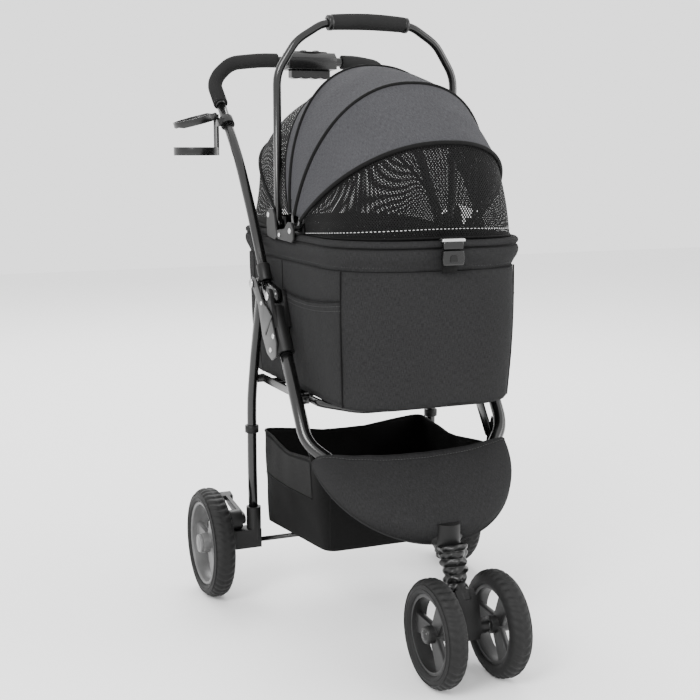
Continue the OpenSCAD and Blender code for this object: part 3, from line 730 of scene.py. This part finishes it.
def make_front_net():
    """Net window from the front bow down to the collar, with a hem and light stitches."""
    top = bow(BOW_FRONT, 0.1530, 0.2425, 97, 0.030)
    low = rim_arc(-0.040, True, 97)
    rows = []
    steps = 26
    for j in range(steps + 1):
        f = j / steps
        row = []
        for i, (a, b) in enumerate(zip(top, low)):
            p = a.lerp(b, f)
            bulge = 0.006 * math.sin(math.pi * f) * math.sin(math.pi * i / 96)
            row.append(p + Vector((p.x * 0.3, -0.15, 0.02)).normalized() * bulge)
        rows.append(row)
    net_piece = dress(grid("front_net", rows), NET, "hood_front", "mesh", "mesh_front")
    band = grid("front_net_hem", [[p + Vector((p.x * 0.004, -0.0006, 0)) for p in row] for row in rows[-2:]])
    thicken(band, 0.0008, 0.0)
    dress(band, BINDING, "hood_front", "mesh")
    stitches("front_net_stitches", [p + Vector((p.x * 0.008, -0.0012, 0)) for p in rows[-4]], "hood_front",
             THREAD_LIGHT, 0.0062, 0.0034, 0.0006)


def rear_bow(count=97, grow=0.0):
    """Bow of the rear window, which stands behind the canopy on the side brackets."""
    lean = math.radians(REAR_LEAN)
    path = []
    for i in range(301):
        turn = math.pi * i / 300
        c, s = math.cos(turn), max(0.0, math.sin(turn))
        h = (REAR_HIGH + grow) * s ** (2 / REAR_POWER)
        x = (REAR_HALF + grow) * math.copysign(abs(c) ** (2 / REAR_POWER), c)
        path.append(REAR_FOOT + Vector((x, -h * math.sin(lean), h * math.cos(lean))))
    return resample(path, count)


def make_rear_net():
    """Net window from the canopy's rear hem over its own bow down to the collar."""
    half, high = canopy_size(HEM_REAR)
    hem = bow(HEM_REAR, half - 0.001, high - 0.001)
    back = rear_bow()
    low = rim_arc(0.090, False, 97)
    rows = []
    for j in range(17):
        f = j / 16
        rows.append([a.lerp(b, f) + Vector((sign_of(a) * 0.002, 0.006, 0.010)) * math.sin(math.pi * f)
                     for a, b in zip(hem, back)])
    for j in range(1, 19):
        f = j / 18
        rows.append([a.lerp(b, f) - Vector((0, 0.008, 0.002)) * math.sin(math.pi * f)
                     for a, b in zip(back, low)])
    net_piece = dress(grid("rear_net", rows), NET, "carrier", "mesh", "rear_mesh")
    piping = tube("rear_piping", rear_bow(121, 0.001), 0.0026, WEBBING, "carrier", "gloss_black")
    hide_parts("rear_hoop")
    band = grid("rear_net_hem", [[p + Vector((p.x * 0.004, 0.0006, 0)) for p in row] for row in rows[-3:]])
    thicken(band, 0.0008, 0.0)
    dress(band, BINDING, "carrier", "mesh")


make_canopy()
make_piping("rear", HEM_REAR, 0.0016, False)
make_piping("back", BOW_BACK, 0.0026, False)
make_piping("middle", BOW_MIDDLE, 0.0028, True)
make_piping("front", BOW_FRONT, 0.0030, True)
make_front_net()
make_rear_net()


# ---- buckle and brackets ----

def make_buckle():
    """Webbing, buckle and release on the collar, tongue and bar on the front net."""
    low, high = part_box("buckle_base")
    clip_low, clip_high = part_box("buckle_clip")
    y = low.y
    webbing = grid("buckle_webbing", [
        [Vector((x, y + dy, z)) for x in (-0.012, -0.004, 0.004, 0.012)]
        for z, dy in ((clip_high.z + 0.006, 0.016), (clip_high.z + 0.001, 0.009),
                      (clip_high.z - 0.004, 0.0065), (low.z + 0.004, 0.0095),
                      (low.z - 0.010, 0.0135), (low.z - 0.014, 0.0150))])
    thicken(webbing, 0.0016, 0.0)
    dress(webbing, WEBBING, "carrier", "mesh")
    body = solid("buckle_body", [(-0.0165, low.z - 0.002), (0.0165, low.z - 0.002), (0.0180, low.z + 0.008),
                                 (0.0165, low.z + 0.019), (-0.0165, low.z + 0.019), (-0.0180, low.z + 0.008)],
                 y, y + 0.0085, 0.002, "xz")
    dress(body, GLOSS, "carrier", "matte_black", "buckle_base")
    dress(solid("buckle_release", [(-0.007, low.z + 0.003), (0.007, low.z + 0.003), (0.005, low.z + 0.013),
                                   (-0.005, low.z + 0.013)], y - 0.0015, y + 0.002, 0.0012, "xz"),
          PLASTIC, "carrier", "matte_black")
    clip = solid("buckle_tongue", [(-0.0155, clip_low.z + 0.013), (0.0155, clip_low.z + 0.013),
                                   (0.0165, clip_high.z - 0.004), (0.0145, clip_high.z),
                                   (-0.0145, clip_high.z), (-0.0165, clip_high.z - 0.004)],
                 y + 0.001, y + 0.0085, 0.0015, "xz")
    dress(clip, GLOSS, "hood_front", "matte_black", "buckle_clip")
    dress(solid("buckle_bar", [(-0.0190, clip_high.z - 0.001), (0.0190, clip_high.z - 0.001),
                               (0.0175, clip_high.z + 0.0035), (-0.0175, clip_high.z + 0.0035)],
                y + 0.0005, y + 0.010, 0.0014, "xz"), STEEL, "hood_front", "steel")


make_buckle()


def make_bracket(side, sign):
    """Moulded covers over the canopy and carry handle pins, with their rivets."""
    x = sign * (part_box("bail_tube")[1].x + 0.0012)
    z = RIM_HIGH.z
    foot = [(0.040, z - 0.006), (0.052, z - 0.012), (0.086, z - 0.008), (0.090, z + 0.012),
            (0.086, z + 0.032), (0.078, z + 0.037), (0.060, z + 0.037), (0.052, z + 0.028),
            (0.046, z + 0.008)]
    dress(solid(f"bail_foot_{side}", foot, x, x + sign * 0.0042, 0.0018), PLASTIC, "carrier", "matte_black")
    lug = [(-0.030, z - 0.006), (-0.022, z - 0.012), (0.040, z - 0.010), (0.044, z + 0.004),
           (0.010, z + 0.008), (-0.004, z + 0.019), (-0.020, z + 0.019), (-0.029, z + 0.010)]
    dress(solid(f"hood_foot_{side}", lug, x, x + sign * 0.0036, 0.0016), PLASTIC, "carrier", "matte_black")
    heads = ((0.080, 0.026, 0.0042), (-0.016, 0.006, 0.0045), (0.030, -0.003, 0.0034))
    for k, (y, up, r) in enumerate(heads):
        rivet(f"bracket_rivet_{side}{k}", (x + sign * 0.0040, y, z + up), (sign, 0, 0), r, "carrier")


for side, sign in SIDES:
    make_bracket(side, sign)


# ---- carry handle grip ----

def make_bail_grip():
    """Foam sleeve along the bent top of the carry handle, with a rubber collar at each end."""
    low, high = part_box("bail_grip")
    half = high.x
    y = (low.y + high.y) / 2
    power = 1.7
    steps = 64
    rows = []
    end_z, mid_z = low.z + 0.0125, high.z - 0.0125
    for j in range(steps + 1):
        f = j / steps
        x = lerp(-half, half, f)
        z = mid_z - (mid_z - end_z) * (abs(x) / half) ** power
        edge = min(f, 1 - f) * steps
        r = 0.0122 + 0.0008 * math.sin(math.pi * f) if edge > 1 else (0.0098 if edge < 0.5 else 0.0116)
        row = [Vector((x, y + r * math.cos(t), z + r * math.sin(t)))
               for t in (2 * math.pi * k / 28 for k in range(28))]
        rows.append(row)
    dress(grid("carry_grip", rows, wrap=True, cap=True), FOAM, "bail", "foam", "bail_grip")
    for side, sign in SIDES:
        slope = Vector((1, 0, -sign * (mid_z - end_z) * power / half)).normalized()
        profile = [(0.0, 0.0068), (0.0, 0.0112), (0.001, 0.0124), (0.007, 0.0126), (0.008, 0.0112),
                   (0.008, 0.0068)]
        at = Vector((sign * (half + 0.0022), y, end_z - 0.0006))
        dress(lathe(f"carry_collar_{side}", profile, at, slope * -sign, 32), BOOT, "bail", "foam")


make_bail_grip()


# ---- wheels ----

def tread(radius, pitch, lean, depth):
    """Diagonal grooves and a centre groove, which fade out towards the sidewalls."""
    def dent(turn, along, r):
        crown = max(0.0, 1 - ((radius - r) / (radius * 0.11)) ** 2)
        if abs(along) <= 0.0025:
            return -depth * 0.8 * crown
        wave = math.sin(turn * pitch + abs(along) * lean)
        return -depth * crown * max(0.0, min(1.0, wave * 3 + 0.2))
    return dent


def make_tyre(name, node, body, rim_share, blocks):
    """Round tyre with tread, and two raised rings on its outer sidewall."""
    low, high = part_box(node)
    at = (low + high) / 2
    radius, half = (high.z - low.z) / 2, (high.x - low.x) / 2
    rim = radius * rim_share
    profile = [(-half * 0.72, rim - 0.001)]
    for i in range(27):
        a = math.pi * i / 26
        profile.append((-half * math.copysign(abs(math.cos(a)) ** 0.8, math.cos(a)),
                        rim + 0.002 + (radius - rim - 0.002) * max(0.0, math.sin(a)) ** 0.72))
    profile.append((half * 0.72, rim - 0.001))
    tyre = lathe(name, profile, at, (1, 0, 0), 288, tread(radius, blocks, 220, 0.0016))
    dress(tyre, TYRE, body, "tyre", node)
    for k, (f, share) in enumerate(((0.30, 0.985), (0.62, 0.93))):
        r = lerp(rim, radius, f)
        x = at.x + sign_of(at) * half * share
        circle = [Vector((x, at.y + r * math.cos(t), at.z + r * math.sin(t)))
                  for t in (2 * math.pi * q / 120 for q in range(120))]
        tube(f"{name}_bead{k}", circle, 0.0009, TYRE, body, "tyre", closed=True, sides=2)


for side in "lr":
    make_tyre(f"rear_tread_{side}", f"rear_tyre_{side}", f"rear_wheel_{side}", 0.77, 44)
    make_tyre(f"front_tread_{side}", f"front_tyre_{side}", f"front_wheel_{side}", 0.74, 38)


def make_hubs(side, sign):
    """Rear hub cap and rim edge, and front hub cap, on one side."""
    low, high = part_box(f"rear_hub_cap_{side}")
    at = Vector((low.x if sign > 0 else high.x, (low.y + high.y) / 2, (low.z + high.z) / 2))
    profile = [(0.0, 0.0160), (0.0035, 0.0160), (0.0055, 0.0148), (0.0058, 0.0120), (0.0052, 0.0112),
               (0.0056, 0.0100), (0.0068, 0.0060), (0.0071, 0.0001)]
    dress(lathe(f"hub_dome_{side}", profile, at, (sign, 0, 0)), RIM_GREY, f"rear_wheel_{side}", "rim_silver",
          f"rear_hub_cap_{side}")
    low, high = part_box(f"rear_rim_{side}")
    radius = (high.z - low.z) / 2
    x = (low.x + high.x) / 2 + sign * 0.0138
    ring_profile = [(-0.001, radius - 0.0062), (0.0012, radius - 0.0058), (0.0022, radius - 0.0035),
                    (0.0016, radius - 0.0008), (-0.001, radius)]
    dress(lathe(f"rim_ring_{side}", ring_profile, (x, at.y, at.z), (sign, 0, 0), 96), RIM_GREY,
          f"rear_wheel_{side}", "rim_silver")
    low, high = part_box(f"front_rim_{side}")
    hub = Vector(((low.x + high.x) / 2 + sign * 0.0150, (low.y + high.y) / 2, (low.z + high.z) / 2))
    profile = [(0.0, 0.0125), (0.0022, 0.0122), (0.0036, 0.0100), (0.0030, 0.0070), (0.0042, 0.0062),
               (0.0050, 0.0001)]
    cap = lathe(f"front_hub_{side}", profile, hub, (sign, 0, 0), 40)
    dress(cap, RIM_DARK, f"front_wheel_{side}", "rim_dark")


for side, sign in SIDES:
    make_hubs(side, sign)


def make_gaiter():
    """Wrinkled rubber boot over the swivel, from the fork head to the caster."""
    low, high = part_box("suspension_boot")
    radius = (high.x - low.x) / 2
    top = Vector((0, high.y - radius + 0.004, high.z + 0.018))
    foot = Vector((0, low.y + radius, low.z))
    axis = (foot - top).normalized()
    length = (foot - top).length
    profile = []
    folds, steps = 6, 96
    for i in range(steps + 1):
        f = i / steps
        fold = abs(math.sin(math.pi * folds * f ** 0.9)) ** 0.7
        profile.append((f * length, lerp(0.0215, 0.0145, f ** 0.8) + 0.0035 * (fold - 0.5)))

    def sag(turn, along, radius):
        return 0.0011 * math.sin(turn * 3 + along * 190) + 0.0008 * math.sin(turn * 7 - along * 260)
    gaiter = lathe("swivel_gaiter", profile, top, axis, 72, sag)
    dress(gaiter, BOOT, "caster", "matte_black", "suspension_boot")


make_gaiter()


# ---- foot cover ----

COVER_HALF, COVER_LONG, COVER_DEEP, HEM = 0.1648, 0.1660, 0.0315, 0.125
COVER_AT = Vector((0, -0.0985, 0.2965))
COVER_DOWN = Vector((0, -125, -98)).normalized()
COVER_UP = Vector((0, -98, 125)).normalized()


def cover_point(u, v, lift=0.0):
    """Point of the foot cover: u across from -1 to 1, v from the hem to the lower edge."""
    reach = math.sqrt(max(0.0, 1 - u * u))
    rho = math.sqrt(u * u + v * v * reach * reach)
    deep = COVER_DEEP * max(0.0, 1 - rho ** 18) ** 0.5
    slack = 0.006 * math.cos(math.pi * u / 2)
    p = COVER_AT + Vector((COVER_HALF * u, 0, 0)) + COVER_DOWN * (COVER_LONG * v * reach)
    p += COVER_UP * (deep - slack + lift)
    return p + COVER_UP * ripple((p.x * 1.3, p.y, p.z), 0.045, 0.0022) * (1 - rho ** 6)


def make_cover():
    """Foot cover between the front legs, with a doubled hem, a welt and stitches."""
    cols, steps = 96, 40
    us = [math.sin(math.pi / 2 * (2 * i / cols - 1)) * 0.9995 for i in range(cols + 1)]
    rows = [[cover_point(u, lerp(HEM, 1, j / steps)) for u in us] for j in range(steps + 1)]
    cover = thicken(grid("foot_cover_cloth", rows), 0.0014, 0.0)
    dress(cover, CHARCOAL, "chassis", "charcoal_linen", "foot_cover")
    band = grid("foot_cover_hem", [[cover_point(u, HEM + down, 0.0011) for u in us]
                                   for down in (-0.004, 0.02, 0.045, 0.062)])
    thicken(band, 0.0008, 0.0)
    dress(band, CHARCOAL, "chassis", "charcoal_linen")
    stitches("foot_cover_stitches", [cover_point(u, HEM + 0.055, 0.0018) for u in us], "chassis")
    for name, v, radius in (("welt", 1.0, 0.0017), ("fold", HEM - 0.006, 0.0015)):
        edge = [cover_point(u, v) for u in us]
        tube(f"foot_cover_{name}", edge, radius, CHARCOAL, "chassis", "charcoal_linen")


make_cover()


# ---- basket ----

# Corners of the basket's floor and mouth, x and y, from the rear right round the front.
BASKET_LOW = [(-0.143, 0.176), (-0.114, -0.040), (0.114, -0.040), (0.143, 0.176)]
BASKET_TOP = [(-0.150, 0.167), (-0.150, -0.078), (0.150, -0.078), (0.150, 0.167)]
BASKET_FLOOR, BASKET_MOUTH, BASKET_ROUND = 0.1335, 0.2945, 0.020


def basket_ring(f, count=160):
    """Ring of the basket from the rear middle, f from 0 at the floor to 1 at the mouth."""
    corners = [Vector((lerp(a[0], b[0], f), lerp(a[1], b[1], f), 0)) for a, b in zip(BASKET_LOW, BASKET_TOP)]
    path = [Vector((0, corners[0].y, 0))]
    for k, c in enumerate(corners):
        a = c + (corners[k - 1] - c).normalized() * BASKET_ROUND
        b = c + (corners[(k + 1) % 4] - c).normalized() * BASKET_ROUND
        path += [a.lerp(c, t).lerp(c.lerp(b, t), t) for t in (i / 8 for i in range(9))]
    path.append(Vector((0, corners[0].y, 0)))
    out = []
    for p in resample(path, count + 1)[:-1]:
        sag = min(1.0, min((p - c).length for c in corners) / 0.11)
        z = lerp(BASKET_FLOOR, BASKET_MOUTH, f) - 0.012 * f ** 3 * sag ** 1.3
        belly = 0.006 * math.sin(math.pi * f) * sag
        grow = belly + ripple((p.x, p.y, z), 0.05, 0.003) * (0.3 + f)
        q = p + Vector((p.x, p.y - 0.055, 0)).normalized() * grow
        out.append(Vector((q.x, q.y, z)))
    return out


def make_basket():
    """Open cloth basket with a bound mouth, a smoother panel on each side and seams at its front corners."""
    floor = basket_ring(0.0)
    rows = []
    for share in (0.08, 0.5, 0.9):
        dip = 0.1345 - 0.004 * math.sin(math.pi * share)
        rows.append([Vector((p.x * share, 0.06 + (p.y - 0.06) * share, dip + ripple(p * share, 0.04, 0.0015)))
                     for p in floor])
    steps = 22
    rows += [basket_ring(j / steps) for j in range(steps + 1)]
    basket = thicken(grid("basket_cloth", rows, wrap=True), 0.0014, 0.0)
    dress(basket, BASKET_CLOTH, "chassis", "mesh", "basket")
    tube("basket_binding", rows[-1], 0.0019, BINDING, "chassis", "mesh", closed=True)
    for side, sign in SIDES:
        cols = [i for i, p in enumerate(rows[-1]) if p.x * sign > 0.1 and -0.055 < p.y < 0.150]
        out = Vector((sign * 0.0016, 0, 0))
        panel = grid(f"basket_panel_{side}", [[basket_ring(f)[i] + out for i in cols]
                                              for f in (0.56, 0.64, 0.72, 0.8, 0.88, 0.96)])
        dress(panel, PANEL, "chassis", "mesh")
        seam = [basket_ring(0.55)[i] + out for i in cols]
        tube(f"basket_seam_{side}", seam, 0.0010, BINDING, "chassis", "mesh")
        x, y = BASKET_LOW[2]
        corner = Vector((sign * x, y, BASKET_FLOOR))
        nearest = min(range(len(floor)), key=lambda i: (floor[i] - corner).length)
        edge = [basket_ring(j / 16)[nearest] for j in range(17)]
        tube(f"basket_corner_{side}", edge, 0.0011, BINDING, "chassis", "mesh")


make_basket()


# ---- straps and clips ----

def make_clips(side, sign):
    """Ring clip on the rear leg, and the webbing that ties the foot cover to the front leg."""
    profile = [(0.0, 0.0083), (0.0, 0.0108), (0.001, 0.0118), (0.012, 0.0118), (0.013, 0.0108),
               (0.013, 0.0083)]
    clip = lathe(f"basket_clip_{side}", profile, (sign * 0.170, 0.1648, 0.291), (0, 0, 1), 32)
    dress(clip, PLASTIC, "rear_legs", "matte_black")
    gusset = grid(f"cover_gusset_{side}", [
        [Vector((sign * 0.1625, -0.070, 0.338)), Vector((sign * 0.1645, -0.084, 0.324))],
        [Vector((sign * 0.1590, -0.064, 0.312)), Vector((sign * 0.1642, -0.092, 0.306))],
        [Vector((sign * 0.1500, -0.074, 0.292)), Vector((sign * 0.1630, -0.098, 0.296))]])
    thicken(gusset, 0.0014, 0.0)
    dress(gusset, WEBBING, "chassis", "mesh")


for side, sign in SIDES:
    make_clips(side, sign)


# ---- joints of the frame ----

def make_gusset(side, sign):
    """Rivets on the gusset plate's outer face, and a black strip on it as painted shade where its slanted
    groove lies.
    """
    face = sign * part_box("gusset_plates")[1].x
    for k, (y, z, r) in enumerate(((0.006, 0.479, 0.0042), (0.0185, 0.4555, 0.0042), (0.060, 0.525, 0.0034))):
        rivet(f"gusset_rivet_{side}{k}", (face, y, z), (sign, 0, 0), r, "chassis")
    # painted shade: a thin black strip on the plate stands in for the darkness inside the groove
    slot = solid(f"gusset_groove_shade_{side}", [(0.010, 0.510), (0.014, 0.512), (0.044, 0.479), (0.040, 0.476)],
                 face, face + sign * 0.0006, 0.0002)
    dress(slot, PLASTIC, "chassis", "matte_black")


for side, sign in SIDES:
    make_gusset(side, sign)


# ---- push handle ----

def make_module():
    """Oval plate with two buttons on top of the handle's lock housing."""
    low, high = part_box("handle_module")
    y = (low.y + high.y) / 2 - 0.001
    turns = (2 * math.pi * k / 40 for k in range(40))
    oval = [(0.034 * math.cos(t), y + 0.0105 * math.sin(t)) for t in turns]
    plate = solid("module_plate", oval, high.z - 0.0005, high.z + 0.0022, 0.0012, "xy")
    dress(plate, PLASTIC, "handle", "gloss_black")
    for k, x in enumerate((-0.012, 0.012)):
        profile = [(0.0, 0.0062), (0.0016, 0.0060), (0.0024, 0.0045), (0.0022, 0.0001)]
        button = lathe(f"module_button{k}", profile, (x, y, high.z + 0.0020), (0, 0, 1), 32)
        dress(button, GLOSS, "handle", "gloss_black")


def make_lever():
    """Squeeze lever with finger waves along its underside."""
    low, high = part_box("squeeze_lever")
    half = high.x - 0.003
    outline = [(-half, high.z), (half, high.z)]
    steps = 32
    for k in range(steps + 1):
        wave = abs(math.sin(2 * math.pi * k / steps * 2))
        outline.append((lerp(half, -half, k / steps), low.z - 0.0045 - 0.0022 * wave))
    lever = solid("finger_lever", outline, low.y, high.y, 0.0016, "xz")
    dress(lever, GLOSS, "lever", "gloss_black", "squeeze_lever")


make_module()
make_lever()


# ---- cushion ----

CHANNEL_X = 0.045  # the two sewn channels run along y, this far from the middle


def plump(obj, floor, motion=0.010):
    """Blows the pad up as cloth by up to motion, holding its underside and its sewn channels."""
    select_only(obj)
    voxels = obj.modifiers.new("voxels", "REMESH")
    voxels.mode, voxels.voxel_size = "VOXEL", 0.006
    bpy.ops.object.modifier_apply(modifier="voxels")
    rest = [v.co.copy() for v in obj.data.vertices]
    held = obj.vertex_groups.new(name="held")
    held.add([v.index for v in obj.data.vertices
              if v.co.z < floor + 0.005 or abs(abs(v.co.x) - CHANNEL_X) < 0.004], 1.0, "REPLACE")
    cloth = obj.modifiers.new("cloth", "CLOTH")
    settings = cloth.settings
    settings.quality, settings.mass = 6, 0.3
    settings.tension_stiffness = settings.compression_stiffness = 12
    settings.use_pressure, settings.uniform_pressure_force = True, 4
    settings.effector_weights.gravity = 0
    settings.vertex_group_mass = "held"
    for step in range(1, 21):
        SCENE.frame_set(step)
    moved = obj.evaluated_get(bpy.context.evaluated_depsgraph_get()).to_mesh()
    shift = [(v.co - r) for v, r in zip(moved.vertices, rest)]
    obj.modifiers.remove(cloth)
    SCENE.frame_set(1)
    for v, r, d in zip(obj.data.vertices, rest, shift):
        v.co = r + d * min(1.0, motion / max(d.length, 1e-6))
        v.co.z = max(v.co.z, floor)
    smooth = obj.modifiers.new("smooth", "SMOOTH")
    smooth.factor, smooth.iterations = 0.5, 4
    bpy.ops.object.modifier_apply(modifier="smooth")
    obj.data.polygons.foreach_set("use_smooth", [True] * len(obj.data.polygons))


def make_cushion():
    """Crowned pad with two sewn channels on the carrier's floor."""
    low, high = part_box("cushion")
    rows = []
    middle = (low.y + high.y) / 2
    profile = [(0.02, 0.0), (0.5, 0.0), (0.93, 0.0), (0.975, 0.003), (0.985, 0.008), (0.965, 0.0125),
               (0.90, 0.0150), (0.8, 0.0165), (0.6, 0.0175), (0.4, 0.018), (0.2, 0.018), (0.02, 0.018)]
    for share, up in profile:
        rows.append([Vector((p.x * share, middle + (p.y - middle) * share, low.z + up))
                     for p in ring(high.x, low.y, high.y, 0.062, 0.036, low.z, 160)])
    pad = grid("cushion_pad", rows, wrap=True, cap=True)
    plump(pad, low.z)
    flat = pad.data.uv_layers.active or pad.data.uv_layers.new(name="UVMap")
    for loop in pad.data.loops:
        co = pad.data.vertices[loop.vertex_index].co
        flat.data[loop.index].uv = (co.x + co.z, co.y)
    dress(pad, LINING, "carrier", "charcoal_linen", "cushion")


make_cushion()

floor = add("floor", [(-6, -6, 0), (6, -6, 0), (6, 6, 0), (-6, 6, 0)], [(0, 1, 2, 3)])
floor.data.materials.append(FLOOR)
